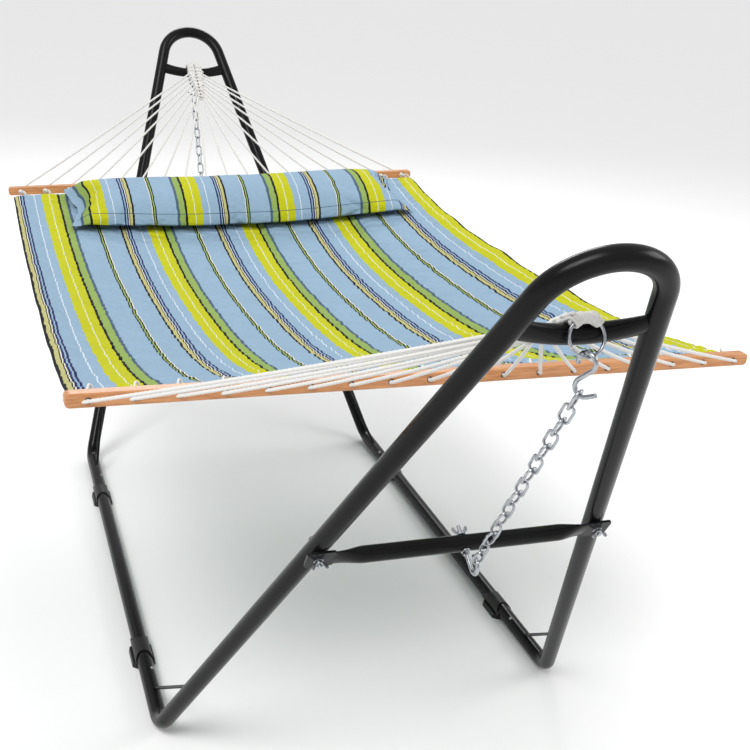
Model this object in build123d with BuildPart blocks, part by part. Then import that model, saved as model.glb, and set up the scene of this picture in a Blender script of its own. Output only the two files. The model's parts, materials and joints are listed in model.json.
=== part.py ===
from build123d import *
from math import asin, atan2, cos, degrees, hypot, radians, sin, sqrt
import os

# Two-person quilted hammock on a steel stand.  X runs across, Y along the hammock, Z up.
# The origin is on the floor, midway between the four foot pads.

# ---- stand -------------------------------------------------------------------
TUBE_D = 38.0              # main tube, outside
WALL = 1.5
SPIGOT_D = 34.7            # reduced ends that plug into the next tube
SPIGOT_BORE = 31.5
FOOT_X = 492.0             # where leg and base tube meet
FOOT_Y = 756.0
TUBE_Z = 22.0              # middle of the tubes on the floor, 3 mm of foot pad under them
LEAN = 33.4                # degrees each end loop leans outwards
ARCH_R = 105.0
ARCH_RISE = 1473.0         # up the leaning plane, from the foot to the arch's centre
SEAM_RISE = 1291.0         # where the arch plugs onto the legs
BEND_R = 75.0
JOINT_Y = 515.0            # where the base tube plugs into the leg's foot
SNAP_Y = 555.0
SNAP_D = 8.0
SNAP_TILT = 30.0           # degrees from upright, leaning inwards
PAD_Y = 450.0
PAD_LENGTH = 110.0
PAD_WIDTH = 57.0

SADDLE_RISE = 1434.0       # upper crossbar, at its ends
SADDLE_DIP = 20.0
SADDLE_D = 32.0
BRACE_RISE = 815.0         # lower brace
BRACE_D = 32.0
BRACE_HALF = 303.0
BRACE_FLAT = 5.0           # thickness of its flattened ends
BRACE_FLAT_TALL = 50.0
STRUT_D = 8.0
STRUT_FOOT_Y = 613.0
STRUT_UP_LEG = 225.0
BOLT_D = 8.0
TOUCH = 0.05               # gap left between pieces that are bolted or slide together

# ---- hanging gear ------------------------------------------------------------
RING_R = 28.5              # to the middle of the wire
RING_WIRE = 5.5
RING_TILT = 20.4           # degrees from upright
RING_MIDDLE = (0, -1558.0, 1205.0)
S_HOOK_WIRE = 7.5
S_HOOK_R = 14.5
S_HOOK_SPREAD = 38.5       # between the middles of its two loops
S_HOOK_TURN = 60.0         # degrees from the crossbar's direction
LINK_WIRE = 5.0
LINK_WIDTH = 24.0
LINK_COUNT = 15
LINK_PLAY = 0.3
CHAIN_TWIST = 32.0         # degrees, from square to the hook bolt to square to the S-hook
HOOK_BOLT_OUT = 76.0       # middle of the hook's bend, outwards from the leg's middle
HOOK_BOLT_R = 16.0

# ---- hammock -----------------------------------------------------------------
BAR_LENGTH = 1397.0
BAR_TALL = 26.0
BAR_DEEP = 24.0
BAR_HOLE_D = 12.0
ROPE_COUNT = 18
ROPE_PITCH = 77.7
ROPE_D = 6.5
# The bars hang a little askew, as they do at rest: position, then turn and tilt in degrees.
BARS = {
    "near": Location((4, -1062, 961), (0, 1.1, 3.1)),
    "far": Location((-2, 1044, 897), (0, -3.0, -2.0)),
}
BED_HALF = 689.0
BED_GAP = 40.0             # from a bar's middle to the fabric's end
BED_THICK = 18.0
BED_SAG_MIDDLE = 176.0
BED_SAG_EDGE = 66.0
BED_SAG_POWER = 2.5
BED_SECTIONS = (-1, -0.66, -0.33, 0, 0.33, 0.66, 1)
SPLIT_Y = 1516.0           # where the hammock's own ropes start, just inside the crossbar
SPLIT_Z = 1219.0           # height of the line the hammock swings about
CLEW_WIDTH = 50.0
CLEW_THICK = 11.5
CLEW_LENGTH = 175.0
PILLOW_MIDDLE_X = 25.0
PILLOW_HALF = 570.0
PILLOW_DEEP = 312.0
PILLOW_TALL = 108.0

# A near end loop's plane: x across, y up the slope, z outwards and down.
lean_sin = sin(radians(LEAN))
lean_cos = cos(radians(LEAN))
LOOP = Plane((0, -FOOT_Y, TUBE_Z), x_dir=(1, 0, 0), z_dir=(0, -lean_cos, -lean_sin))
TURNED_ROUND = Location((0, 0, 0), (0, 0, 180))
SIDES = {"left": -1, "right": 1}

# Each straight leg is tangent to the arch.
foot_to_centre = hypot(FOOT_X, ARCH_RISE)
leg_angle = atan2(ARCH_RISE, -FOOT_X) - asin(ARCH_R / foot_to_centre)
leg_straight = sqrt(foot_to_centre**2 - ARCH_R**2)
arch_touch_x = FOOT_X + leg_straight * cos(leg_angle)
arch_touch_rise = leg_straight * sin(leg_angle)


def leg_x(rise):
    """How far out the leg's middle is, this far up the slope."""
    return FOOT_X + cos(leg_angle) * rise / sin(leg_angle)


def leg_plane(side, rise):
    """Plane on the leg's middle line at this rise, looking up the leg."""
    origin = LOOP.from_local_coords((side * leg_x(rise), rise, 0))
    higher = LOOP.from_local_coords((side * leg_x(rise + 100), rise + 100, 0))
    return Plane(origin, z_dir=higher - origin)


def outward_plane(x):
    """Plane across a bolt through the brace, looking outwards, with its origin in the loop's plane."""
    return Plane(LOOP.from_local_coords((x, BRACE_RISE, 0)), x_dir=LOOP.x_dir, z_dir=LOOP.z_dir)


def snap_plane(side):
    """Plane on the base tube's middle line, looking out through the snap button."""
    lean = radians(SNAP_TILT)
    return Plane((side * FOOT_X, -SNAP_Y, TUBE_Z), x_dir=(0, 1, 0), z_dir=(-side * sin(lean), 0, cos(lean)))


def tube_section(outer_d, inner_d):
    Circle(outer_d / 2)
    Circle(inner_d / 2, mode=Mode.SUBTRACT)


def cut_clear_of_legs():
    """Shape the ends of the piece being built so that they fit against both legs."""
    for side in (-1, 1):
        with BuildSketch(leg_plane(side, BRACE_RISE)) as outline:
            Circle(TUBE_D / 2 + 0.02)
        extrude(outline.sketch, amount=800, both=True, mode=Mode.SUBTRACT)


def make_leg(side):
    joint = Vector(side * FOOT_X, -JOINT_Y, TUBE_Z)
    corner = Vector(side * FOOT_X, -FOOT_Y, TUBE_Z)
    top = leg_plane(side, SEAM_RISE)
    with BuildPart() as leg:
        with BuildLine() as route:
            FilletPolyline(joint, corner, top.origin, radius=BEND_R)
        with BuildSketch(Plane(joint, z_dir=corner - joint)):
            tube_section(TUBE_D, TUBE_D - 2 * WALL)
        sweep(path=route.line)
        with BuildSketch(top):
            tube_section(TUBE_D - 2 * WALL + 0.4, SPIGOT_BORE)
        extrude(amount=-20)
        with BuildSketch(top):
            tube_section(SPIGOT_D, SPIGOT_BORE)
        extrude(amount=60)
        with BuildSketch(snap_plane(side)):
            Circle(SNAP_D / 2 + TOUCH)
        extrude(amount=TUBE_D, mode=Mode.SUBTRACT)
        with BuildSketch(outward_plane(side * leg_x(BRACE_RISE))):
            Circle(BOLT_D / 2 + 0.2)
        extrude(amount=TUBE_D, both=True, mode=Mode.SUBTRACT)
    return leg.part


def make_arch():
    seam = (leg_x(SEAM_RISE + 0.3), SEAM_RISE + 0.3)
    with BuildPart() as arch:
        with BuildLine(LOOP) as route:
            Line((-seam[0], seam[1]), (-arch_touch_x, arch_touch_rise))
            ThreePointArc(
                (-arch_touch_x, arch_touch_rise), (0, ARCH_RISE + ARCH_R), (arch_touch_x, arch_touch_rise)
            )
            Line((arch_touch_x, arch_touch_rise), seam)
        start = leg_plane(-1, SEAM_RISE + 0.3)
        with BuildSketch(start):
            tube_section(TUBE_D, TUBE_D - 2 * WALL)
        sweep(path=route.line)
    return arch.part


def make_saddle():
    """Upper crossbar: round and sagging in the middle, pressed flatter where it meets the legs."""
    span = leg_x(SADDLE_RISE) - 4
    with BuildPart() as saddle:
        for wall, mode in ((0, Mode.ADD), (2, Mode.SUBTRACT)):
            for step in (-3, -2, -1, 0, 1, 2, 3):
                part_way = step / 3
                x = span * part_way
                flat = part_way**2
                rise = SADDLE_RISE - SADDLE_DIP * (1 - flat)
                origin = LOOP.from_local_coords((x, rise, 0))
                onward = LOOP.from_local_coords((x + 100, rise + 200 * SADDLE_DIP * x / span**2, 0))
                with BuildSketch(Plane(origin, x_dir=LOOP.z_dir, z_dir=onward - origin)):
                    Ellipse(SADDLE_D / 2 - 7 * flat - wall, SADDLE_D / 2 + 4 * flat - wall)
            loft(mode=mode)
        cut_clear_of_legs()
    return saddle.part


def make_brace():
    middle = TUBE_D / 2 + TOUCH + BRACE_FLAT / 2
    round_to = BRACE_HALF - 115
    flat_from = BRACE_HALF - 48
    sections = (
        (round_to, BRACE_D / 2, BRACE_D / 2),
        (round_to + 24, BRACE_D / 2 - 3, BRACE_D / 2 + 3),
        (flat_from - 10, BRACE_FLAT / 2 + 1.5, BRACE_FLAT_TALL / 2 - 2),
        (flat_from, BRACE_FLAT / 2, BRACE_FLAT_TALL / 2 - 1),
    )
    across = Plane(LOOP.from_local_coords((0, BRACE_RISE, middle)), x_dir=LOOP.z_dir, z_dir=LOOP.x_dir)
    with BuildPart() as brace:
        with BuildSketch(across):
            Circle(BRACE_D / 2)
        extrude(amount=round_to, both=True)
        for side in (-1, 1):
            for x, half_deep, half_tall in sections:
                with BuildSketch(across.offset(side * x)):
                    Ellipse(half_deep, half_tall)
            loft()
            with BuildSketch(LOOP.offset(middle - BRACE_FLAT / 2)):
                with Locations((side * (flat_from + BRACE_HALF - 6) / 2, BRACE_RISE)):
                    RectangleRounded(BRACE_HALF - flat_from + 6, BRACE_FLAT_TALL, 7)
            extrude(amount=BRACE_FLAT)
        with BuildSketch(across):
            Circle(BRACE_D / 2 - WALL)
        extrude(amount=round_to, both=True, mode=Mode.SUBTRACT)
        for x in (-leg_x(BRACE_RISE), 0, leg_x(BRACE_RISE)):
            with BuildSketch(outward_plane(x)):
                Circle(BOLT_D / 2 + 0.2)
            extrude(amount=60, mode=Mode.SUBTRACT)
    return brace.part


def make_base_tube(side):
    middle = Plane((side * FOOT_X, 0, TUBE_Z), z_dir=(0, 1, 0))
    shoulder = JOINT_Y - 0.3
    with BuildPart() as base:
        with BuildSketch(middle):
            tube_section(TUBE_D, TUBE_D - 2 * WALL)
        extrude(amount=shoulder, both=True)
        for end in (-1, 1):
            with BuildSketch(middle.offset(end * (shoulder - 20))):
                tube_section(TUBE_D - 2 * WALL + 0.4, SPIGOT_BORE)
            extrude(amount=end * 20)
            with BuildSketch(middle.offset(end * shoulder)):
                tube_section(SPIGOT_D, SPIGOT_BORE)
            extrude(amount=end * 75)
        near = snap_plane(side)
        for y in (-SNAP_Y, SNAP_Y):
            with BuildSketch(Plane((side * FOOT_X, y, TUBE_Z), x_dir=near.x_dir, z_dir=near.z_dir)):
                Circle(SNAP_D / 2 + TOUCH)
            extrude(amount=TUBE_D, mode=Mode.SUBTRACT)
    return base.part


def make_pad(side):
    """Foot pad: a sleeve round the base tube on a plate with cut corners."""
    middle = Plane((side * FOOT_X, -PAD_Y, TUBE_Z), z_dir=(0, 1, 0))
    with BuildPart() as pad:
        with BuildSketch(Plane((side * FOOT_X, -PAD_Y, 0))) as plate:
            Rectangle(PAD_WIDTH, PAD_LENGTH - 20)
            chamfer(plate.vertices(), 11)
        extrude(amount=14, taper=6)
        with BuildSketch(middle):
            Circle(TUBE_D / 2 + 3)
        extrude(amount=PAD_LENGTH / 2, both=True)
        with BuildSketch(middle):
            Circle(TUBE_D / 2 + TOUCH)
        extrude(amount=PAD_LENGTH, both=True, mode=Mode.SUBTRACT)
        with BuildSketch(Plane((side * FOOT_X, -PAD_Y, TUBE_Z + 4))):
            with Locations((0, PAD_LENGTH / 2), (0, -PAD_LENGTH / 2)):
                Ellipse(TUBE_D / 2 + 4, 26)
        extrude(amount=TUBE_D, mode=Mode.SUBTRACT)
    return pad.part


def make_strut(side):
    low = Vector(side * FOOT_X, -STRUT_FOOT_Y, TUBE_Z)
    leg = leg_plane(side, STRUT_UP_LEG * sin(leg_angle))
    with BuildPart() as strut:
        with BuildSketch(Plane(low, z_dir=leg.origin - low)):
            Circle(STRUT_D / 2)
        extrude(amount=(leg.origin - low).length)
        for tube in (leg, Plane(low, z_dir=(0, 1, 0))):
            with BuildSketch(tube):
                Circle(TUBE_D / 2 + 0.02)
            extrude(amount=80, both=True, mode=Mode.SUBTRACT)
    return strut.part


def make_snap_button(side):
    plane = snap_plane(side)
    seat = SPIGOT_BORE / 2 - 7.2
    with BuildPart() as button:
        with BuildSketch(plane.offset(seat)):
            Circle(SNAP_D / 2)
        extrude(amount=TUBE_D / 2 + 4 - seat)
        fillet(button.edges().group_by(Axis(plane.origin, plane.z_dir))[-1], 2.5)
        with BuildSketch(plane.offset(seat)):
            Circle(SNAP_D / 2 + 1.5)
        extrude(amount=1.5)
    return button.part


def make_snap_spring(side):
    """Bent leaf inside the base tube's plug that pushes the button out."""
    button = snap_plane(side)
    leaf = Plane(button.origin, x_dir=(0, 1, 0), z_dir=Vector(0, 1, 0).cross(button.z_dir))
    seat = SPIGOT_BORE / 2 - 8.4
    with BuildPart() as spring:
        with BuildSketch(leaf):
            with BuildLine() as shape:
                upper = Polyline((-12, seat), (6, seat), (28, 4))
                bend = ThreePointArc(upper @ 1, (33, -2), (28, -8))
                Line(bend @ 1, (-12, -12))
            trace(shape.line, line_width=1.0)
        extrude(amount=4, both=True)
    return spring.part


def make_cross_bolt(side):
    """Carriage bolt through leg and brace, dome on the inner side, with its washer under the wing nut."""
    plane = outward_plane(side * leg_x(BRACE_RISE))
    with BuildPart() as bolt:
        with BuildSketch(plane.offset(-TUBE_D / 2 - TOUCH)):
            Circle(BOLT_D / 2)
        extrude(amount=57)
        with BuildSketch(plane.offset(-TUBE_D / 2 - TOUCH)):
            Circle(9)
        extrude(amount=-4)
        fillet(bolt.edges().group_by(Axis(plane.origin, plane.z_dir))[0], 3.2)
    return bolt.part


def make_washer(plane, height):
    with BuildPart() as washer:
        with BuildSketch(plane.offset(height)):
            tube_section(18, BOLT_D + 0.6)
        extrude(amount=1.6)
    return washer.part


def make_wing_nut(plane, height, outward):
    """Wing nut with its flat face at this height; the wings stand away from that face."""
    base = plane.offset(height)
    upright = Plane(base.origin, x_dir=base.x_dir, z_dir=base.x_dir.cross(outward * base.z_dir))
    with BuildPart() as nut:
        with BuildSketch(base):
            Circle(7.2)
        extrude(amount=outward * 7)
        chamfer(nut.edges().group_by(Axis(base.origin, outward * base.z_dir))[-1], 1)
        for side in (-1, 1):
            with BuildSketch(upright):
                with BuildLine():
                    wing = Spline((side * 4, 0.8), (side * 10.5, 3.5), (side * 15.5, 11), (side * 14.5, 16))
                    back = Spline(wing @ 1, (side * 10.5, 15), (side * 8, 9), (side * 4, 6.2))
                    Line(back @ 1, wing @ 0)
                make_face()
            extrude(amount=1.4, both=True)
        with BuildSketch(base):
            Circle(BOLT_D / 2 + TOUCH)
        extrude(amount=30, both=True, mode=Mode.SUBTRACT)
    return nut.part


def make_hook_bolt():
    shank = outward_plane(0)
    side_on = Plane(shank.origin, x_dir=shank.z_dir, z_dir=shank.z_dir.cross(LOOP.y_dir))
    with BuildPart() as hook:
        with BuildLine(side_on) as route:
            Line((-15, 0), (HOOK_BOLT_OUT, 0))
            CenterArc((HOOK_BOLT_OUT, HOOK_BOLT_R), HOOK_BOLT_R, -90, 235)
        with BuildSketch(shank.offset(-15)):
            Circle(BOLT_D / 2)
        sweep(path=route.line)
    return hook.part


def make_hex_nut(plane, height):
    with BuildPart() as nut:
        with BuildSketch(plane.offset(height)):
            RegularPolygon(radius=7.4, side_count=6)
            Circle(BOLT_D / 2 + TOUCH, mode=Mode.SUBTRACT)
        extrude(amount=6.3)
    return nut.part


ring_plane = Plane(
    RING_MIDDLE, x_dir=(1, 0, 0), z_dir=(0, cos(radians(RING_TILT)), -sin(radians(RING_TILT)))
)
ring_low = ring_plane.from_local_coords((0, RING_R, 0))
s_hook_top = ring_low + Vector(0, 0, (RING_WIRE + S_HOOK_WIRE) / 2 + LINK_PLAY)
s_hook_middle = s_hook_top - Vector(0, 0, S_HOOK_R + S_HOOK_SPREAD / 2)
s_hook_face = Plane(
    s_hook_middle,
    x_dir=(cos(radians(S_HOOK_TURN)), -sin(radians(S_HOOK_TURN)), 0),
    z_dir=(-sin(radians(S_HOOK_TURN)), -cos(radians(S_HOOK_TURN)), 0),
)
hook_top = LOOP.from_local_coords((0, BRACE_RISE + 2 * HOOK_BOLT_R, HOOK_BOLT_OUT))


def make_ring():
    with BuildPart() as ring:
        with Locations(ring_plane):
            Torus(RING_R, RING_WIRE / 2)
    return ring.part


def make_ring_wrap():
    """Rope turned round the top of the ring, and the woven band from there over the crossbar."""
    ring_top = ring_plane.from_local_coords((0, -RING_R, 0)) + Vector(0, 0, 1.5)
    band_end = Vector(0, -SPLIT_Y - 1, SPLIT_Z + 0.5)
    with BuildPart() as wrap:
        with BuildLine(ring_plane) as route:
            arc = CenterArc((0, 0), RING_R, -140, 100)
        with BuildSketch(Plane(arc @ 0, z_dir=arc % 0)):
            Circle(8.3)
        sweep(path=route.line)
        with BuildSketch(Plane(ring_top, x_dir=(1, 0, 0), z_dir=band_end - ring_top)):
            RectangleRounded(44, CLEW_THICK, 5)
        with BuildSketch(Plane(band_end, x_dir=(1, 0, 0), z_dir=(0, 1, 0))):
            RectangleRounded(CLEW_WIDTH, CLEW_THICK * 1.12, 5)
        loft()
        with Locations(ring_plane):
            Torus(RING_R, RING_WIRE / 2 + TOUCH, mode=Mode.SUBTRACT)
    return wrap.part


def make_s_hook():
    touch_angle = degrees(atan2(sqrt(S_HOOK_SPREAD**2 - 4 * S_HOOK_R**2), 2 * S_HOOK_R)) - 90
    reach = 200 - touch_angle
    with BuildPart() as s_hook:
        with BuildLine(s_hook_face) as route:
            upper = CenterArc((0, S_HOOK_SPREAD / 2), S_HOOK_R, 200, -reach)
            lower = CenterArc((0, -S_HOOK_SPREAD / 2), S_HOOK_R, touch_angle + 180, reach - 85)
            PolarLine(lower @ 1, 17, direction=lower % 1)
            Line(upper @ 1, lower @ 0)
        with BuildSketch(Plane(upper @ 0, z_dir=upper % 0)):
            Circle(S_HOOK_WIRE / 2)
        sweep(path=route.line)
    return s_hook.part


def make_chain():
    """Fifteen long links in a straight run from the S-hook down to the hook bolt."""
    loop_middle = s_hook_face.from_local_coords((0, -S_HOOK_SPREAD / 2, 0))
    pull = s_hook_face.to_local_coords(hook_top) - s_hook_face.to_local_coords(loop_middle)
    pull = Vector(pull.X, pull.Y, 0).normalized() * S_HOOK_R
    held_at = s_hook_face.from_local_coords((pull.X, pull.Y - S_HOOK_SPREAD / 2, 0))
    down = (hook_top - held_at).normalized()
    first = held_at - down * ((S_HOOK_WIRE + LINK_WIRE) / 2 + LINK_PLAY)
    last = hook_top + down * ((BOLT_D + LINK_WIRE) / 2 + LINK_PLAY)
    overlap = LINK_WIRE + LINK_PLAY
    reach = ((last - first).length + (LINK_COUNT - 1) * overlap) / LINK_COUNT
    half = (LINK_WIDTH - LINK_WIRE) / 2
    links = []
    for i in range(LINK_COUNT):
        middle = first + down * (i * (reach - overlap) + reach / 2)
        turn = 90 * (i % 2) - CHAIN_TWIST * (1 - i / (LINK_COUNT - 1))
        across = Vector(1, 0, 0).rotate(Axis((0, 0, 0), down), turn)
        flat = Plane(middle, x_dir=down, z_dir=down.cross(across))
        with BuildPart() as link:
            with BuildLine(flat) as route:
                straight = reach / 2 - half
                Line((0, -half), (straight, -half))
                ThreePointArc((straight, -half), (reach / 2, 0), (straight, half))
                Line((straight, half), (-straight, half))
                ThreePointArc((-straight, half), (-reach / 2, 0), (-straight, -half))
                Line((-straight, -half), (0, -half))
            with BuildSketch(Plane(route.line @ 0, z_dir=down)):
                Circle(LINK_WIRE / 2)
            sweep(path=route.line)
        links.append(link.solid())
    return Compound(children=links)


def make_bar():
    with BuildPart() as bar:
        Box(BAR_LENGTH, BAR_DEEP, BAR_TALL)
        fillet(bar.edges().filter_by(Axis.Y), 9)
        fillet(bar.edges().group_by(Axis.Y)[0] + bar.edges().group_by(Axis.Y)[-1], 3)
        with Locations(Plane.XZ):
            with GridLocations(ROPE_PITCH, 1, ROPE_COUNT, 1):
                Cylinder(BAR_HOLE_D / 2, BAR_DEEP + 2, mode=Mode.SUBTRACT)
    return bar.part


def rod(start, end, diameter):
    with BuildSketch(Plane(start, z_dir=end - start)) as round_section:
        Circle(diameter / 2)
    extrude(round_section.sketch, amount=(end - start).length)


def clew_start(end):
    return Vector(0, -SPLIT_Y if end == "near" else SPLIT_Y, SPLIT_Z)


def clew_direction(end):
    return (Vector(BARS[end].position) - clew_start(end)).normalized()


def make_clew(end):
    """Woven band that narrows as the ropes leave it."""
    start = clew_start(end)
    toward = clew_direction(end)
    with BuildPart() as clew:
        with BuildSketch(Plane(start, x_dir=(1, 0, 0), z_dir=(0, -1, 0) if end == "far" else (0, 1, 0))):
            RectangleRounded(CLEW_WIDTH, CLEW_THICK * 1.12, 5)
        for way, width in ((0.33, 0.76), (0.67, 0.5), (1, 0.22)):
            with BuildSketch(Plane(start + toward * CLEW_LENGTH * way, x_dir=(1, 0, 0), z_dir=toward)):
                RectangleRounded(CLEW_WIDTH * width, CLEW_THICK, 5)
        loft(ruled=True)
    return clew.part


def make_ropes(end):
    """Ropes fan out from the clew, pass through the bar and are knotted behind it."""
    inward = 1 if end == "near" else -1
    start = clew_start(end)
    toward = clew_direction(end)
    ropes = []
    for i in range(ROPE_COUNT):
        x = (i - (ROPE_COUNT - 1) / 2) * ROPE_PITCH
        side = 1 if x > 0 else -1
        from_outside = ROPE_COUNT - 1 - i if x > 0 else i
        way = (from_outside + 0.5) / (ROPE_COUNT / 2)
        edge = CLEW_WIDTH / 2 * (1 - 0.8 * way) + 1
        leave = start + toward * (10 + way * (CLEW_LENGTH - 12)) + Vector(side * edge, 0, 0)
        mouth = (BARS[end] * Location((x, -inward * (BAR_DEEP / 2 + 5), 0))).position
        behind = (BARS[end] * Location((x, inward * (BAR_DEEP / 2 + 6), 0))).position
        with BuildPart() as rope:
            rod(leave, mouth, ROPE_D)
            rod(mouth, behind, ROPE_D)
            with Locations(mouth):
                Sphere(ROPE_D / 2)
            with Locations(behind):
                Sphere(6)
        ropes.append(rope.solid())
    return Compound(children=ropes)


def bed_ends(x):
    """Where the fabric ends behind each bar, this far across."""
    near = (BARS["near"] * Location((x, BED_GAP, 0))).position
    far = (BARS["far"] * Location((x, -BED_GAP, 0))).position
    return near, far


def bed_top(x, y):
    near, far = bed_ends(x)
    way = (y - near.Y) / (far.Y - near.Y)
    sag = BED_SAG_MIDDLE - (BED_SAG_MIDDLE - BED_SAG_EDGE) * (x / BED_HALF) ** 2
    return near.Z + (far.Z - near.Z) * way - sag * (1 - abs(2 * way - 1) ** BED_SAG_POWER)


def slab_section(x, low, high):
    """Closed section at x between a lower and an upper run of (y, z) points."""
    with BuildSketch(Plane((x, 0, 0), x_dir=(0, 1, 0), z_dir=(1, 0, 0))) as section:
        with BuildLine():
            bottom = Spline(*low)
            top = Spline(*high)
            Line(bottom @ 0, top @ 0)
            Line(bottom @ 1, top @ 1)
        make_face()
    return section.sketch


def make_bed():
    sections = []
    for part_way in BED_SECTIONS:
        x = BED_HALF * part_way
        near, far = bed_ends(x)
        ys = [near.Y + (far.Y - near.Y) * i / 12 for i in range(13)]
        top = [(y, bed_top(x, y)) for y in ys]
        sections.append(slab_section(x, [(y, z - BED_THICK) for y, z in top], top))
    with BuildPart() as bed:
        loft(sections)
    return bed.part


def make_bed_ties(end):
    """Short rope loops between the bar and the fabric's end, beside each knot."""
    inward = 1 if end == "near" else -1
    ties = []
    for i in range(ROPE_COUNT):
        x = (i - (ROPE_COUNT - 1) / 2) * ROPE_PITCH + 12
        bar_face = (BARS[end] * Location((x, inward * (BAR_DEEP / 2 + 1), 0))).position
        cloth = (BARS[end] * Location((x, inward * (BED_GAP - 2), -6))).position
        with BuildPart() as tie:
            rod(bar_face, cloth, 5)
        ties.append(tie.solid())
    return Compound(children=ties)


def make_pillow():
    """Long flat-ended pillow lying on the bed against its far end."""
    sections = []
    for part_way in (-1, -0.93, -0.8, -0.4, 0, 0.4, 0.8, 0.93, 1):
        x = PILLOW_MIDDLE_X + PILLOW_HALF * part_way
        full = sqrt(1 - abs(part_way) ** 5)
        middle = bed_ends(x)[1].Y - 20 - PILLOW_DEEP / 2
        front = middle - PILLOW_DEEP / 2 + 25 * (1 - full)
        back = middle + PILLOW_DEEP / 2 - 25 * (1 - full)
        low = []
        high = []
        for i in range(9):
            y = front + (back - front) * i / 8
            z = bed_top(x, y) + 1.5
            bulge = (1 - abs(i / 4 - 1) ** 3) ** 0.8
            low.append((y, z))
            high.append((y, z + 12 + (PILLOW_TALL - 12) * full * bulge))
        sections.append(slab_section(x, low, high))
    with BuildPart() as pillow:
        loft(sections)
    return pillow.part


def save(name, shape):
    shape.label = name
    export_step(shape, f"parts/{name}.step")


def save_near_and_far(name, shape):
    save(f"near_{name}", shape)
    save(f"far_{name}", TURNED_ROUND * shape)


os.makedirs("parts", exist_ok=True)

for side_name, side in SIDES.items():
    save(f"{side_name}_base_tube", make_base_tube(side))
    for name, make in (
        ("leg", make_leg),
        ("foot_pad", make_pad),
        ("strut", make_strut),
        ("snap_button", make_snap_button),
        ("brace_wing_nut", lambda s: make_wing_nut(outward_plane(s * leg_x(BRACE_RISE)), 25.8, 1)),
    ):
        save(f"near_{side_name}_{name}", make(side))
        save(f"far_{side_name}_{name}", TURNED_ROUND * make(-side))

cross_bolts = [make_cross_bolt(side).solid() for side in (-1, 1)]
cross_washers = [make_washer(outward_plane(side * leg_x(BRACE_RISE)), 24.15).solid() for side in (-1, 1)]
save_near_and_far("arch_tube", make_arch())
save_near_and_far("saddle_bar", make_saddle())
save_near_and_far("lower_brace", make_brace())
save_near_and_far("brace_bolts", Compound(children=cross_bolts + cross_washers))
save_near_and_far("hook_bolt", make_hook_bolt())
save_near_and_far("hook_wing_nut", make_wing_nut(outward_plane(0), 3.8, -1))
hook_washers = [make_washer(outward_plane(0), height).solid() for height in (3.85, 37.65)]
save_near_and_far("hook_nuts", Compound(children=hook_washers + [make_hex_nut(outward_plane(0), 39.3).solid()]))
save_near_and_far("chain", make_chain())
save_near_and_far("s_hook", make_s_hook())
save_near_and_far("ring", make_ring())
save_near_and_far("ring_wrap", make_ring_wrap())

springs = [make_snap_spring(side).solid() for side in (-1, 1)]
springs += [TURNED_ROUND * spring for spring in springs]
save("snap_springs", Compound(children=springs))

for end, place in BARS.items():
    save(f"{end}_spreader_bar", place * make_bar())
    save(f"{end}_clew", make_clew(end))
    save(f"{end}_ropes", make_ropes(end))
    save(f"{end}_bed_ties", make_bed_ties(end))
save("bed", make_bed())
save("pillow", make_pillow())
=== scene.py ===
import json
import math

import bpy
import numpy as np
from mathutils import Matrix, Vector


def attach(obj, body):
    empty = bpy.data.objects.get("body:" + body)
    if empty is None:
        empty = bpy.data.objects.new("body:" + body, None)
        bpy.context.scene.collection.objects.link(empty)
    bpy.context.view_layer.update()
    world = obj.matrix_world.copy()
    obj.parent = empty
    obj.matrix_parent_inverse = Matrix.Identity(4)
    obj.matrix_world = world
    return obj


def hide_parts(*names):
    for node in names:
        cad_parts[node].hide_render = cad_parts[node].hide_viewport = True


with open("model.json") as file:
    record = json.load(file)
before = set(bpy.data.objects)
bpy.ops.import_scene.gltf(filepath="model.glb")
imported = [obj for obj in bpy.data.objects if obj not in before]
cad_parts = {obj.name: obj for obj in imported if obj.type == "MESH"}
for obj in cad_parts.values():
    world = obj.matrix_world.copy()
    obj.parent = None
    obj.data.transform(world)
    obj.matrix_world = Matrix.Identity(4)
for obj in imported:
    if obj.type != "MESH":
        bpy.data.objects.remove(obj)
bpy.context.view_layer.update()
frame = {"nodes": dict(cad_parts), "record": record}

# ------------------------------------------------------------------ sizes, in metres
BAR_ANGLES = {"near": (0.0, 1.1, 3.1), "far": (0.0, -3.0, -2.0)}
BAR_MIDDLE = {"near": (0.004, -1.062, 0.961), "far": (-0.002, 1.044, 0.897)}
BAR_DEEP = 0.024
ROPES = 18
ROPE_PITCH = 0.0777
ROPE_R = 0.0036
SPLIT_Y, SPLIT_Z = 1.516, 1.219
CLEW_LENGTH = 0.175
BED_HALF = 0.689
BED_GAP = 0.040
SAG_MIDDLE, SAG_EDGE, SAG_POWER = 0.176, 0.066, 2.5
BED_FLAT = (1.378, 2.07)                    # width and length of the cloth, laid flat
STRIPE_PERIOD = 0.307
STRIPE_START = 0.071
STRIPE_WANDER = 0.0085
SEAMS = (0.0, 0.10, 0.315, 0.56, 0.74)      # stitch lines, as fractions of a stripe period
BINDING_FROM = 0.6835                       # the black edge binding starts this far from the middle
PILLOW_SEAM_V = -0.155                      # the pillow's front seam, in cloth coordinates
PILLOW_SEAM_HALF = 0.0013
RING_R, RING_TILT = 0.0285, 20.4            # the ring's wire middle, and its tilt in degrees
RING_MIDDLE = (0.0, -1.558, 1.205)


def rotation(angles):
    rx, ry, rz = (math.radians(a) for a in angles)
    return Matrix.Rotation(rx, 3, "X") @ Matrix.Rotation(ry, 3, "Y") @ Matrix.Rotation(rz, 3, "Z")


def on_bar(end, x, y, z=0.0):
    return Vector(BAR_MIDDLE[end]) + rotation(BAR_ANGLES[end]) @ Vector((x, y, z))


# ------------------------------------------------------------------ shader helpers
def new_material(name):
    mat = bpy.data.materials.new(name)
    mat.use_nodes = True
    nodes, links = mat.node_tree.nodes, mat.node_tree.links
    bsdf = nodes["Principled BSDF"]
    return mat, nodes, links, bsdf


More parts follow.
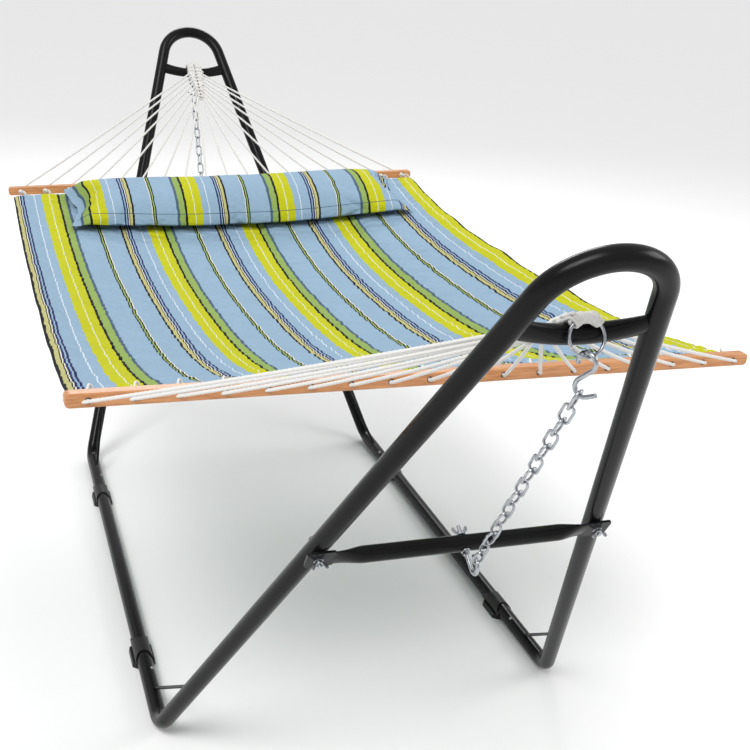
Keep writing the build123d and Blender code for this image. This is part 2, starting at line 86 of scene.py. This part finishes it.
def noise_node(nodes, links, vector, scale, detail=2.0, rough=0.5):
    n = nodes.new("ShaderNodeTexNoise")
    n.inputs["Scale"].default_value = scale
    n.inputs["Detail"].default_value = detail
    n.inputs["Roughness"].default_value = rough
    links.new(vector, n.inputs["Vector"])
    return n


def ramp_node(nodes, links, factor, stops, mode="LINEAR"):
    ramp = nodes.new("ShaderNodeValToRGB")
    ramp.color_ramp.interpolation = mode
    elements = ramp.color_ramp.elements
    elements.remove(elements[1])
    elements[0].position = stops[0][0]
    elements[0].color = (*stops[0][1], 1.0)
    for pos, color in stops[1:]:
        elements.new(pos).color = (*color, 1.0)
    links.new(factor, ramp.inputs["Fac"])
    return ramp


def math_node(nodes, links, op, a, b=None):
    m = nodes.new("ShaderNodeMath")
    m.operation = op
    for socket, value in zip(m.inputs, (a, b)):
        if value is None:
            continue
        if hasattr(value, "is_linked"):
            links.new(value, socket)
        else:
            socket.default_value = value
    return m.outputs[0]


def bump_node(nodes, links, height, strength, distance, normal=None):
    b = nodes.new("ShaderNodeBump")
    b.inputs["Strength"].default_value = strength
    b.inputs["Distance"].default_value = distance
    links.new(height, b.inputs["Height"])
    if normal is not None:
        links.new(normal, b.inputs["Normal"])
    return b.outputs["Normal"]


def object_vector(nodes, links, scale=(1, 1, 1)):
    coord = nodes.new("ShaderNodeTexCoord")
    mapping = nodes.new("ShaderNodeMapping")
    mapping.inputs["Scale"].default_value = scale
    links.new(coord.outputs["Object"], mapping.inputs["Vector"])
    return mapping.outputs["Vector"]


def steel_black():
    mat, nodes, links, bsdf = new_material("powder_coat_black")
    vec = object_vector(nodes, links)
    broad = noise_node(nodes, links, vec, 9.0)
    tones = [(0.3, (0.0035, 0.0035, 0.004)), (0.7, (0.006, 0.006, 0.0065))]
    tone = ramp_node(nodes, links, broad.outputs["Fac"], tones)
    links.new(tone.outputs["Color"], bsdf.inputs["Base Color"])
    rough = ramp_node(nodes, links, broad.outputs["Fac"], [(0.3, (0.20,) * 3), (0.7, (0.27,) * 3)])
    links.new(rough.outputs["Color"], bsdf.inputs["Roughness"])
    peel = noise_node(nodes, links, vec, 420.0)
    links.new(bump_node(nodes, links, peel.outputs["Fac"], 0.12, 0.0004), bsdf.inputs["Normal"])
    bsdf.inputs["Specular IOR Level"].default_value = 0.16
    return mat


def plastic_black():
    mat, nodes, links, bsdf = new_material("moulded_black")
    vec = object_vector(nodes, links)
    grain = noise_node(nodes, links, vec, 900.0)
    tone = ramp_node(nodes, links, grain.outputs["Fac"], [(0.3, (0.008,) * 3), (0.7, (0.013,) * 3)])
    links.new(tone.outputs["Color"], bsdf.inputs["Base Color"])
    links.new(bump_node(nodes, links, grain.outputs["Fac"], 0.2, 0.0003), bsdf.inputs["Normal"])
    bsdf.inputs["Roughness"].default_value = 0.42
    bsdf.inputs["Specular IOR Level"].default_value = 0.3
    return mat


def zinc():
    mat, nodes, links, bsdf = new_material("zinc_plate")
    vec = object_vector(nodes, links)
    cloud = noise_node(nodes, links, vec, 160.0, 3.0)
    tones = [(0.3, (0.33, 0.35, 0.38)), (0.7, (0.50, 0.52, 0.54))]
    tone = ramp_node(nodes, links, cloud.outputs["Fac"], tones)
    links.new(tone.outputs["Color"], bsdf.inputs["Base Color"])
    rough = ramp_node(nodes, links, cloud.outputs["Fac"], [(0.3, (0.16,) * 3), (0.7, (0.28,) * 3)])
    links.new(rough.outputs["Color"], bsdf.inputs["Roughness"])
    links.new(bump_node(nodes, links, cloud.outputs["Fac"], 0.1, 0.0004), bsdf.inputs["Normal"])
    bsdf.inputs["Metallic"].default_value = 1.0
    return mat


def wood():
    mat, nodes, links, bsdf = new_material("varnished_hardwood")
    long_grain = object_vector(nodes, links, (3.0, 60.0, 60.0))
    grain = noise_node(nodes, links, long_grain, 4.0, 6.0, 0.62)
    fine = noise_node(nodes, links, object_vector(nodes, links, (12.0, 700.0, 700.0)), 1.6, 4.0, 0.6)
    both = math_node(nodes, links, "ADD", math_node(nodes, links, "MULTIPLY", grain.outputs["Fac"], 0.7),
                     math_node(nodes, links, "MULTIPLY", fine.outputs["Fac"], 0.3))
    tone = ramp_node(nodes, links, both, [
        (0.30, (0.30, 0.115, 0.035)), (0.46, (0.46, 0.19, 0.065)),
        (0.56, (0.55, 0.245, 0.092)), (0.72, (0.64, 0.31, 0.13))])
    links.new(tone.outputs["Color"], bsdf.inputs["Base Color"])
    links.new(bump_node(nodes, links, fine.outputs["Fac"], 0.12, 0.0004), bsdf.inputs["Normal"])
    bsdf.inputs["Roughness"].default_value = 0.42
    bsdf.inputs["Coat Weight"].default_value = 0.3
    bsdf.inputs["Coat Roughness"].default_value = 0.2
    return mat


def rope_white():
    mat, nodes, links, bsdf = new_material("white_polyester_rope")
    vec = object_vector(nodes, links)
    fibre = noise_node(nodes, links, vec, 1100.0, 3.0, 0.7)
    tones = [(0.25, (0.52, 0.51, 0.48)), (0.65, (0.74, 0.73, 0.71))]
    tone = ramp_node(nodes, links, fibre.outputs["Fac"], tones)
    links.new(tone.outputs["Color"], bsdf.inputs["Base Color"])
    links.new(bump_node(nodes, links, fibre.outputs["Fac"], 0.35, 0.0006), bsdf.inputs["Normal"])
    bsdf.inputs["Roughness"].default_value = 0.85
    bsdf.inputs["Sheen Weight"].default_value = 0.25
    return mat


BLUE = (0.235, 0.345, 0.455)
SAGE = (0.23, 0.33, 0.085)
SLATE = (0.060, 0.100, 0.150)
LIME = (0.43, 0.44, 0.006)
CREAM = (0.62, 0.61, 0.50)
WHITE = (0.56, 0.62, 0.66)
BLACK = (0.006, 0.006, 0.009)
NAVY = (0.012, 0.018, 0.085)
STRAW = (0.42, 0.40, 0.17)
STRIPES = (
    (0.0, SAGE), (0.056, SLATE), (0.084, BLUE),
    (0.298, BLACK), (0.309, SAGE), (0.324, BLACK), (0.335, CREAM), (0.342, BLUE),
    (0.528, BLACK), (0.548, STRAW), (0.578, BLACK), (0.584, CREAM), (0.592, NAVY),
    (0.606, BLUE), (0.620, NAVY), (0.636, BLUE), (0.735, WHITE), (0.744, BLUE),
    (0.812, LIME), (0.888, CREAM), (0.897, LIME), (0.975, BLACK),
)


def striped(name, binding):
    """Woven stripes along V; U runs across them in metres.  Their borders wander with the puckers."""
    mat, nodes, links, bsdf = new_material(name)
    uv = nodes.new("ShaderNodeUVMap")
    uv.uv_map = "cloth"
    split = nodes.new("ShaderNodeSeparateXYZ")
    links.new(uv.outputs["UV"], split.inputs["Vector"])
    wander = noise_node(nodes, links, uv.outputs["UV"], 26.0, 3.0, 0.55)
    sideways = math_node(nodes, links, "SUBTRACT", wander.outputs["Fac"], 0.5)
    shift = math_node(nodes, links, "MULTIPLY", sideways, STRIPE_WANDER)
    across = math_node(nodes, links, "ADD", split.outputs["X"], shift)
    phase = math_node(nodes, links, "FRACT",
                      math_node(nodes, links, "DIVIDE",
                                math_node(nodes, links, "ADD", across, 20 * STRIPE_PERIOD - STRIPE_START),
                                STRIPE_PERIOD))
    ramp = ramp_node(nodes, links, phase, STRIPES, "CONSTANT")
    mapping = nodes.new("ShaderNodeMapping")
    mapping.inputs["Scale"].default_value = (1500.0, 260.0, 1.0)
    links.new(uv.outputs["UV"], mapping.inputs["Vector"])
    yarn = noise_node(nodes, links, mapping.outputs["Vector"], 1.0, 3.0, 0.6)
    soft = noise_node(nodes, links, uv.outputs["UV"], 11.0, 4.0, 0.6)
    shade = math_node(nodes, links, "ADD",
                      math_node(nodes, links, "MULTIPLY", yarn.outputs["Fac"], 0.34),
                      math_node(nodes, links, "MULTIPLY", soft.outputs["Fac"], 0.16))
    value = math_node(nodes, links, "ADD", shade, 0.75)
    tint = nodes.new("ShaderNodeMix")
    tint.data_type = "RGBA"
    tint.blend_type = "MULTIPLY"
    tint.inputs["Factor"].default_value = 1.0
    links.new(ramp.outputs["Color"], tint.inputs["A"])
    links.new(value, tint.inputs["B"])
    color = tint.outputs["Result"]
    if not binding:
        seam = math_node(nodes, links, "COMPARE", split.outputs["Y"], PILLOW_SEAM_V)
        seam.node.inputs[2].default_value = PILLOW_SEAM_HALF
        sewn = nodes.new("ShaderNodeMix")
        sewn.data_type = "RGBA"
        links.new(seam, sewn.inputs["Factor"])
        links.new(color, sewn.inputs["A"])
        sewn.inputs["B"].default_value = (0.03, 0.06, 0.08, 1.0)
        color = sewn.outputs["Result"]
    if binding:
        from_middle = math_node(nodes, links, "ABSOLUTE", split.outputs["X"])
        edge = math_node(nodes, links, "GREATER_THAN", from_middle, BINDING_FROM)
        bound = nodes.new("ShaderNodeMix")
        bound.data_type = "RGBA"
        links.new(edge, bound.inputs["Factor"])
        links.new(color, bound.inputs["A"])
        bound.inputs["B"].default_value = (*BLACK, 1.0)
        color = bound.outputs["Result"]
    links.new(color, bsdf.inputs["Base Color"])
    pucker = noise_node(nodes, links, uv.outputs["UV"], 55.0, 4.0, 0.6)
    rumpled = bump_node(nodes, links, pucker.outputs["Fac"], 0.8, 0.006)
    links.new(bump_node(nodes, links, yarn.outputs["Fac"], 0.3, 0.0006, rumpled), bsdf.inputs["Normal"])
    bsdf.inputs["Roughness"].default_value = 0.88
    bsdf.inputs["Specular IOR Level"].default_value = 0.2
    return mat


MATERIAL = {
    "black_steel": steel_black(),
    "black_plastic": plastic_black(),
    "zinc": zinc(),
    "varnished_wood": wood(),
    "white_rope": rope_white(),
    "striped_fabric": striped("striped_quilt", True),
}
PILLOW_CLOTH = striped("striped_pillow", False)

for subpart in frame["record"]["subparts"]:
    node = frame["nodes"][subpart["node"]]
    node.data.materials.clear()
    node.data.materials.append(MATERIAL[subpart["material_slot"]])


# ------------------------------------------------------------------ mesh helpers
def piece(name, verts, faces, slot, body, replaced=(), material=None, uvs=None):
    mesh = bpy.data.meshes.new(name)
    mesh.from_pydata([tuple(v) for v in verts], [], faces)
    if uvs is not None:
        layer = mesh.uv_layers.new(name="cloth")
        index = np.empty(len(mesh.loops), dtype=np.int32)
        mesh.loops.foreach_get("vertex_index", index)
        layer.data.foreach_set("uv", np.asarray(uvs, dtype=np.float32)[index].ravel())
    mesh.materials.append(material or MATERIAL[slot])
    mesh.shade_smooth()
    obj = bpy.data.objects.new(name, mesh)
    bpy.context.scene.collection.objects.link(obj)
    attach(obj, body)
    if replaced:
        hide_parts(*replaced)
    return obj


def smooth_path(points, step):
    """Even steps along a Catmull-Rom curve through the points."""
    pts = [np.array(p, dtype=float) for p in points]
    pts = [2 * pts[0] - pts[1], *pts, 2 * pts[-1] - pts[-2]]
    fine = []
    for a, b, c, d in zip(pts, pts[1:], pts[2:], pts[3:]):
        for t in np.linspace(0, 1, 16, endpoint=False):
            square = (2 * a - 5 * b + 4 * c - d) * t**2
            cube = (3 * b - a - 3 * c + d) * t**3
            fine.append(0.5 * (2 * b + (c - a) * t + square + cube))
    fine.append(pts[-2])
    fine = np.array(fine)
    run = np.concatenate([[0], np.cumsum(np.linalg.norm(np.diff(fine, axis=0), axis=1))])
    count = max(3, int(round(run[-1] / step)) + 1)
    at = np.linspace(0, run[-1], count)
    return np.stack([np.interp(at, run, fine[:, k]) for k in range(3)], axis=1), at


def twisted(path, at, radius, pitch, phase, verts, faces, sides=12, lobe=0.13):
    """Three-strand rope: a lobed section that turns as it goes along."""
    tangent = np.gradient(path, axis=0)
    tangent /= np.linalg.norm(tangent, axis=1)[:, None]
    side = np.cross(tangent[0], (0.31, 0.17, 0.93))
    side /= np.linalg.norm(side)
    base = len(verts)
    angle = np.linspace(0, 2 * math.pi, sides, endpoint=False)
    for i, (p, t) in enumerate(zip(path, tangent)):
        side = side - t * np.dot(side, t)
        side /= np.linalg.norm(side)
        up = np.cross(t, side)
        turn = 2 * math.pi * at[i] / pitch + phase
        r = radius * (1 - lobe + lobe * np.cos(3 * (angle - turn)))
        verts.extend(p + np.outer(r * np.cos(angle), side) + np.outer(r * np.sin(angle), up))
    rings = len(path)
    for i in range(rings - 1):
        for j in range(sides):
            k = (j + 1) % sides
            a = base + i * sides
            faces.append((a + j, a + k, a + sides + k, a + sides + j))
    for start, flip in ((base, True), (base + (rings - 1) * sides, False)):
        loop = [start + j for j in range(sides)]
        faces.append(tuple(reversed(loop)) if flip else tuple(loop))


def rope(verts, faces, points, radius=ROPE_R, pitch=0.026, phase=0.0, step=0.0035, sides=12, lobe=0.13):
    path, at = smooth_path(points, step)
    twisted(path, at, radius, pitch, phase, verts, faces, sides, lobe)


# ------------------------------------------------------------------ bed
def bed_ends(x):
    return on_bar("near", x, BED_GAP), on_bar("far", x, -BED_GAP)


def bed_top(x, y):
    near, far = bed_ends(x)
    way = (y - near.y) / (far.y - near.y)
    sag = SAG_MIDDLE - (SAG_MIDDLE - SAG_EDGE) * (x / BED_HALF) ** 2
    return near.z + (far.z - near.z) * way - sag * (1 - abs(2 * way - 1) ** SAG_POWER)


def bed_surface(x, way):
    """World y and height of the smooth bed, for arrays of x and of the share of the way to the far bar."""
    near0, far0 = np.array(on_bar("near", 0, BED_GAP)), np.array(on_bar("far", 0, -BED_GAP))
    near_step = np.array(on_bar("near", 1, BED_GAP)) - near0
    far_step = np.array(on_bar("far", 1, -BED_GAP)) - far0
    near_y, near_z = near0[1] + near_step[1] * x, near0[2] + near_step[2] * x
    far_y, far_z = far0[1] + far_step[1] * x, far0[2] + far_step[2] * x
    sag = SAG_MIDDLE - (SAG_MIDDLE - SAG_EDGE) * (x / BED_HALF) ** 2
    height = near_z + (far_z - near_z) * way - sag * (1 - np.abs(2 * way - 1) ** SAG_POWER)
    return near_y + (far_y - near_y) * way, height


def wave(x, y, seed, count, short, tall):
    """Repeatable ripples: a sum of plane waves with wavelengths from short to tall."""
    rng = np.random.default_rng(seed)
    total = np.zeros_like(x)
    for _ in range(count):
        length = rng.uniform(short, tall)
        way = rng.uniform(0, 2 * math.pi)
        total += np.sin(2 * math.pi * (x * math.cos(way) + y * math.sin(way)) / length + rng.uniform(0, 6.28))
    return total / math.sqrt(count)


def quilt_relief(u, v):
    """Height of the padding above the stitch lines, in metres, for cloth coordinates in metres."""
    phase = np.mod((u - STRIPE_START + 0.0025 * wave(u * 0.3, v, 5, 5, 0.05, 0.16)) / STRIPE_PERIOD, 1.0)
    lines = np.array(sorted(SEAMS) + [1.0])
    gap = np.min(np.abs(phase[..., None] - lines), axis=-1) * STRIPE_PERIOD
    puff = 1 - np.exp(-gap / 0.016)
    pinch = np.exp(-gap / 0.020)
    crosswise = wave(u * 0.25, v, 11, 9, 0.016, 0.042)
    folds = np.abs(wave(u, v, 3, 10, 0.05, 0.17))
    return 0.0046 * puff + 0.0019 * pinch * crosswise + 0.0013 * puff * crosswise - 0.0014 * puff * folds


def make_bed():
    nx, ny = 330, 420
    half = BED_HALF - 0.0035
    gx, gv = np.meshgrid(np.linspace(-1, 1, nx), np.linspace(0, 1, ny))
    x = gx * half
    world_y, z = bed_surface(x, gv)
    cloth_v = world_y
    relief = quilt_relief(x, cloth_v)
    hem = np.minimum((half - np.abs(x)) / 0.012, np.minimum(gv, 1 - gv) * BED_FLAT[1] / 0.016)
    hem = np.clip(hem, 0, 1) ** 0.5
    dzdy = np.gradient(z, axis=0) / np.gradient(world_y, axis=0)
    dzdx = np.gradient(z, axis=1) / np.gradient(x, axis=1)
    normal = np.stack([-dzdx, -dzdy, np.ones_like(z)], axis=-1)
    normal /= np.linalg.norm(normal, axis=-1)[..., None]
    # the open edge between two bars ripples a little and pulls in between the ties
    ripple = 0.004 * np.clip((np.abs(gx) - 0.82) / 0.18, 0, 1) ** 2 * wave(x * 0, cloth_v, 21, 6, 0.12, 0.4)
    tie = 0.5 - 0.5 * np.cos(2 * math.pi * (x - 0.5 * ROPE_PITCH - 0.012) / ROPE_PITCH)
    end_pull = 0.006 * tie * (np.exp(-gv * BED_FLAT[1] / 0.02) - np.exp(-(1 - gv) * BED_FLAT[1] / 0.02))
    middle = np.stack([x, world_y + end_pull, z - 0.009 + ripple], axis=-1)
    top = middle + normal * ((0.0025 + relief + 0.0018) * hem + 0.0012)[..., None]
    low = middle - normal * ((0.0025 + relief + 0.0010) * hem + 0.0012)[..., None]
    verts = np.concatenate([top.reshape(-1, 3), low.reshape(-1, 3)])
    uv = np.stack([x, cloth_v], axis=-1).reshape(-1, 2)
    uvs = np.concatenate([uv, uv])
    faces = []
    layer = nx * ny
    for j in range(ny - 1):
        row = j * nx
        for i in range(nx - 1):
            a = row + i
            faces.append((a, a + 1, a + nx + 1, a + nx))
            faces.append((layer + a, layer + a + nx, layer + a + nx + 1, layer + a + 1))
    rim = list(range(nx))
    rim += [j * nx + nx - 1 for j in range(1, ny)]
    rim += [(ny - 1) * nx + i for i in range(nx - 2, -1, -1)]
    rim += [j * nx for j in range(ny - 2, 0, -1)]
    for a, b in zip(rim, rim[1:] + rim[:1]):
        faces.append((b, a, layer + a, layer + b))
    obj = piece("quilted_bed", verts, faces, "striped_fabric", "hammock", ["bed"], uvs=uvs)
    return obj


# ------------------------------------------------------------------ pillow
PILLOW_LENGTH, PILLOW_DEPTH = 1.135, 0.405
PILLOW_MIDDLE_X, PILLOW_BEHIND = 0.025, 0.216
PILLOW_FILLED = 0.468                       # where the filling ends, as a share of the length from the middle


def inflate_pillow():
    """Two layers of cloth sewn round the edge, blown up by the filling; the ends keep a flat flange."""
    nx, ny = 118, 44
    gx, gy = np.meshgrid(np.linspace(-0.5, 0.5, nx), np.linspace(-0.5, 0.5, ny))
    end_fade = np.clip(PILLOW_FILLED - np.abs(gx), 0, 0.05) / 0.05
    side_fade = np.minimum(0.5 - np.abs(gy), 0.1) / 0.1
    rim_fade = np.minimum(end_fade, side_fade)
    verts, index = [], {}
    for layer, sign in ((0, 1), (1, -1)):
        for j in range(ny):
            for i in range(nx):
                edge = i in (0, nx - 1) or j in (0, ny - 1)
                if layer and edge:
                    index[layer, j, i] = index[0, j, i]
                    continue
                index[layer, j, i] = len(verts)
                lift = sign * (0.0012 + 0.014 * math.sqrt(max(0.0, float(rim_fade[j, i]))))
                verts.append((gx[j, i] * PILLOW_LENGTH, gy[j, i] * PILLOW_DEPTH, lift))
    faces = []
    for layer in (0, 1):
        for j in range(ny - 1):
            for i in range(nx - 1):
                corners = ((j, i), (j, i + 1), (j + 1, i + 1), (j + 1, i))
                quad = [index[layer, row, column] for row, column in corners]
                faces.append(tuple(quad if layer == 0 else reversed(quad)))
    flat = np.array(verts)
    mesh = bpy.data.meshes.new("pillow_sim")
    mesh.from_pydata(verts, [], faces)
    obj = bpy.data.objects.new("pillow_sim", mesh)
    bpy.context.scene.collection.objects.link(obj)
    shape = flat.copy()
    bpy.context.view_layer.objects.active = obj
    filled = obj.vertex_groups.new(name="filled")
    for k, (x, _, _) in enumerate(verts):
        filled.add([k], 1.0 if abs(x) < PILLOW_FILLED * PILLOW_LENGTH else 0.0, "REPLACE")
    cloth = obj.modifiers.new("cloth", "CLOTH")
    s = cloth.settings
    s.quality = 6
    s.mass = 0.25
    s.tension_stiffness = 18
    s.compression_stiffness = 12
    s.shear_stiffness = 8
    s.bending_stiffness = 0.35
    s.use_pressure = True
    s.uniform_pressure_force = 3.2
    s.vertex_group_pressure = "filled"
    s.effector_weights.gravity = 0
    s.air_damping = 3
    cloth.point_cache.frame_start = 1
    cloth.point_cache.frame_end = 24
    for f in range(1, 25):
        bpy.context.scene.frame_set(f)
    done = obj.evaluated_get(bpy.context.evaluated_depsgraph_get())
    shape = np.array([v.co[:] for v in done.data.vertices])
    bpy.context.scene.frame_set(1)
    bpy.data.objects.remove(obj)
    bpy.data.meshes.remove(mesh)
    return flat, shape, faces


def make_pillow():
    flat, shape, faces = inflate_pillow()
    u = flat[:, 0] / PILLOW_LENGTH * 2
    local = shape - (shape.min(axis=0) + shape.max(axis=0)) / 2
    deep = max(local[:, 2].max(), 0.001)
    level = local[:, 2] / deep
    # the underside lies flat on the bed and the top keeps its crown
    height = np.where(level > 0, 0.026 + 0.078 * level, 0.026 * (1 + np.maximum(level, -1)) ** 0.8)
    flat_end = np.clip((np.abs(u) - 0.90) / 0.08, 0, 1)
    height = height * (1 - 0.55 * flat_end)
    span = local[:, 0].max() / flat[:, 0].max()
    x = PILLOW_MIDDLE_X + 0.4 * local[:, 0] + 0.6 * flat[:, 0] * span
    middle = np.array([on_bar("far", a, -PILLOW_BEHIND).y for a in x])
    y = middle + local[:, 1] * 0.93
    flange = np.clip((np.abs(u) - 0.90) / 0.10, 0, 1)
    y += 0.008 * flange * np.sin(flat[:, 1] * 60)
    rest = np.array([bed_top(a, b) for a, b in zip(x, y)])
    z = rest + height + 0.002
    uvs = np.stack([-flat[:, 0] - 0.132, flat[:, 1]], axis=-1)
    verts = np.stack([x, y, z], axis=-1)
    obj = piece("bolster_pillow", verts, faces, "striped_fabric", "hammock", ["pillow"], PILLOW_CLOTH, uvs)
    sub = obj.modifiers.new("sub", "SUBSURF")
    sub.levels = sub.render_levels = 1
    bpy.context.view_layer.objects.active = obj
    obj.select_set(True)
    bpy.ops.object.modifier_apply(modifier="sub")
    obj.select_set(False)
    return obj


# ------------------------------------------------------------------ ropes, clews and ties
def clew_frame(end):
    start = Vector((0, -SPLIT_Y if end == "near" else SPLIT_Y, SPLIT_Z))
    toward = (Vector(BAR_MIDDLE[end]) - start).normalized()
    up = Vector((1, 0, 0)).cross(toward)
    if up.z < 0:
        up = -up
    return start, toward, up


def make_rigging(end):
    inward = 1 if end == "near" else -1
    start, toward, up = clew_frame(end)
    verts, faces = [], []
    wrap_verts, wrap_faces = [], []
    ring_top = Vector((0, -1.548 * inward, 1.2317))
    for i in range(ROPES):
        x = (i - (ROPES - 1) / 2) * ROPE_PITCH
        side = 1 if x > 0 else -1
        from_outside = ROPES - 1 - i if x > 0 else i
        way = (from_outside + 0.5) / (ROPES / 2)
        lane = side * (0.0020 + 0.0225 * (1 - way))
        layer = 0.0032 * (1 if from_outside % 2 else -1)
        leave = 0.004 + way * (CLEW_LENGTH - 0.012)
        points = []
        for k in range(6):
            t = leave * k / 5
            weave = 0.0022 * math.sin(2 * math.pi * t / 0.05 + from_outside * math.pi)
            points.append(start + toward * t + Vector((lane, 0, 0)) + up * (layer + weave))
        edge = 0.024 * (1 - 0.84 * way) + 0.003
        points.append(start + toward * (leave + 0.014) + Vector((side * edge, 0, 0)) + up * layer * 0.4)
        mouth = on_bar(end, x, -inward * (BAR_DEEP / 2 + 0.0045), 0.0006)
        a = np.array(points[-1])
        b = np.array(mouth)
        for t in (0.25, 0.5, 0.75):
            sag = 0.004 * 4 * t * (1 - t)
            points.append(Vector(a + (b - a) * t) - Vector((0, 0, sag)))
        points += [mouth, on_bar(end, x, -inward * BAR_DEEP * 0.36)]
        points.append(on_bar(end, x, inward * (BAR_DEEP / 2 + 0.003)))
        rope(verts, faces, points, phase=i * 1.3)
        knot_at = on_bar(end, x, inward * (BAR_DEEP / 2 + 0.0066))
        turns = rotation(BAR_ANGLES[end])
        knot = []
        for k in range(15):
            a = 2 * math.pi * k / 9
            around = Vector((0.0046 * math.cos(a), inward * (-0.003 + 0.0005 * k), 0.0046 * math.sin(a)))
            knot.append(knot_at + turns @ around)
        rope(verts, faces, knot, radius=0.0031, pitch=0.02, phase=i, step=0.0022, sides=8)
        # the same strand carries on over the crossbar to the ring
        band = []
        for k in range(5):
            t = k / 4
            p = ring_top.lerp(start - toward * 0.0012, t)
            rise = layer + 0.002 + 0.0015 * math.sin(5 * t + i)
            band.append(p + Vector((lane * (0.85 + 0.15 * t), 0, 0)) + up * rise)
        rope(wrap_verts, wrap_faces, band, phase=i * 1.3, step=0.003)
    # wefts: short crossing turns that bind the band where each pair of ropes leaves it
    for k in range(9):
        way = (k + 0.5) / 9
        half = 0.0255 * (1 - 0.82 * way) + 0.0035
        t0 = 0.002 + way * (CLEW_LENGTH - 0.020)
        flip = 1 if k % 2 else -1
        loop = []
        for m in range(19):
            a = 2 * math.pi * m / 16
            sideways = Vector((half * math.cos(a) * flip, 0, 0))
            upward = up * (0.0068 * math.sin(a))
            loop.append(start + toward * (t0 + 0.0075 * m / 18 * 1.6) + sideways + upward)
        rope(verts, faces, loop, radius=0.0034, phase=k, step=0.003, sides=10)
    return verts, faces, wrap_verts, wrap_faces


def make_ring_turns(end, verts, faces):
    """Rope wound round the top of the ring."""
    turn = 1 if end == "near" else -1
    tilt = math.radians(RING_TILT)
    middle = Vector((0, RING_MIDDLE[1] * turn, RING_MIDDLE[2]))
    across = Vector((turn, 0, 0))
    down = Vector((0, -math.sin(tilt) * turn, -math.cos(tilt)))
    out = across.cross(down)
    count = 11
    points = []
    steps = count * 14
    for k in range(steps + 1):
        along = math.radians(-48 + 96 * k / steps)
        radial = across * math.sin(along) - down * math.cos(along)
        a = 2 * math.pi * k / 14
        points.append(middle + radial * (RING_R + 0.0062 * math.cos(a)) + out * 0.0062 * math.sin(a))
    rope(verts, faces, points, radius=0.0031, phase=0.4, step=0.0025, sides=9)


# one tie's way from the bar, through the fabric's end and back, as (across, inward, up) from its hole
TIE_LOOP = (
    (0.001, 0.010, -0.001), (0.004, 0.020, 0.002), (0.007, 0.030, 0.005), (0.011, 0.039, 0.006),
    (0.016, 0.043, 0.000), (0.018, 0.038, -0.008), (0.015, 0.029, -0.007), (0.010, 0.020, -0.003),
    (0.003, 0.0175, 0.001), (-0.003, 0.0185, 0.003),
)


def make_ties(end):
    inward = 1 if end == "near" else -1
    verts, faces = [], []
    for i in range(ROPES):
        x = (i - (ROPES - 1) / 2) * ROPE_PITCH
        wob = 0.0015 * math.sin(i * 2.3)
        points = []
        for dx, dy, dz in TIE_LOOP:
            points.append(on_bar(end, x + dx + wob, inward * (BAR_DEEP / 2 + dy - 0.004), dz))
        rope(verts, faces, points, radius=0.0024, pitch=0.018, phase=i, step=0.0025, sides=8)
    return verts, faces


for end in ("near", "far"):
    verts, faces, wrap_verts, wrap_faces = make_rigging(end)
    piece(f"{end}_rope_fan", verts, faces, "white_rope", "hammock", [f"{end}_ropes", f"{end}_clew"])
    make_ring_turns(end, wrap_verts, wrap_faces)
    piece(f"{end}_ring_turns", wrap_verts, wrap_faces, "white_rope", "stand", [f"{end}_ring_wrap"])
    verts, faces = make_ties(end)
    piece(f"{end}_fabric_ties", verts, faces, "white_rope", "hammock", [f"{end}_bed_ties"])
make_bed()
make_pillow()

# ------------------------------------------------------------------ floor, light and camera
def stage_plane(name, size, z, material):
    bpy.ops.mesh.primitive_plane_add(size=size, location=(0, 0, z))
    obj = bpy.context.object
    obj.name = name
    obj.data.materials.append(material)


floor_mat, nodes, links, bsdf = new_material("pale_floor")
bsdf.inputs["Base Color"].default_value = (0.86, 0.86, 0.86, 1)
bsdf.inputs["Roughness"].default_value = 0.9
stage_plane("floor", 400, -0.0005, floor_mat)
bpy.context.scene.view_settings.view_transform = "Standard"

world = bpy.context.scene.world or bpy.data.worlds.new("world")
bpy.context.scene.world = world
world.use_nodes = True
world.node_tree.nodes["Background"].inputs["Color"].default_value = (1, 1, 1, 1)
world.node_tree.nodes["Background"].inputs["Strength"].default_value = 0.60


def softbox(name, place, aim, size, watts):
    light = bpy.data.lights.new(name, "AREA")
    light.shape = "RECTANGLE"
    light.size, light.size_y = size
    light.energy = watts
    obj = bpy.data.objects.new(name, light)
    obj.location = place
    obj.rotation_euler = (Vector(aim) - Vector(place)).to_track_quat("-Z", "Y").to_euler()
    bpy.context.scene.collection.objects.link(obj)


softbox("key", (-3.2, -3.0, 5.0), (0, 0, 0.6), (2.6, 2.0), 120)
sun = bpy.data.lights.new("sun", "SUN")
sun.energy = 1.25
sun.angle = 0.5
sun_object = bpy.data.objects.new("sun", sun)
sun_object.rotation_euler = Vector((-2.0, -2.6, 5.5)).to_track_quat("Z", "Y").to_euler()
bpy.context.scene.collection.objects.link(sun_object)
softbox("fill", (4.5, -2.0, 3.4), (0, 0, 0.7), (3.0, 2.0), 80)
softbox("back", (1.0, 4.5, 4.2), (0, 0.5, 0.8), (3.0, 1.5), 120)

yaw, pitch, roll = 0.3675, 0.4069, 0.0744
forward = Vector((math.sin(yaw) * math.cos(pitch), math.cos(yaw) * math.cos(pitch), -math.sin(pitch)))
level = Vector((math.cos(yaw), -math.sin(yaw), 0))
upright = level.cross(forward)
right = level * math.cos(roll) + upright * math.sin(roll)
upward = -level * math.sin(roll) + upright * math.cos(roll)
camera_data = bpy.data.cameras.new("camera")
camera_data.sensor_width = 36
camera_data.lens = 54.85
camera_data.shift_x = -0.0245
camera_data.shift_y = 0.0817
camera_data.clip_end = 100
camera = bpy.data.objects.new("camera", camera_data)
pose = Matrix.Identity(4)
for k, axis in enumerate((right, upward, -forward)):
    pose.col[k][:3] = axis
pose.col[3][:3] = (-0.8072, -2.9179, 1.7017)
camera.matrix_world = pose
bpy.context.scene.collection.objects.link(camera)
bpy.context.scene.camera = camera
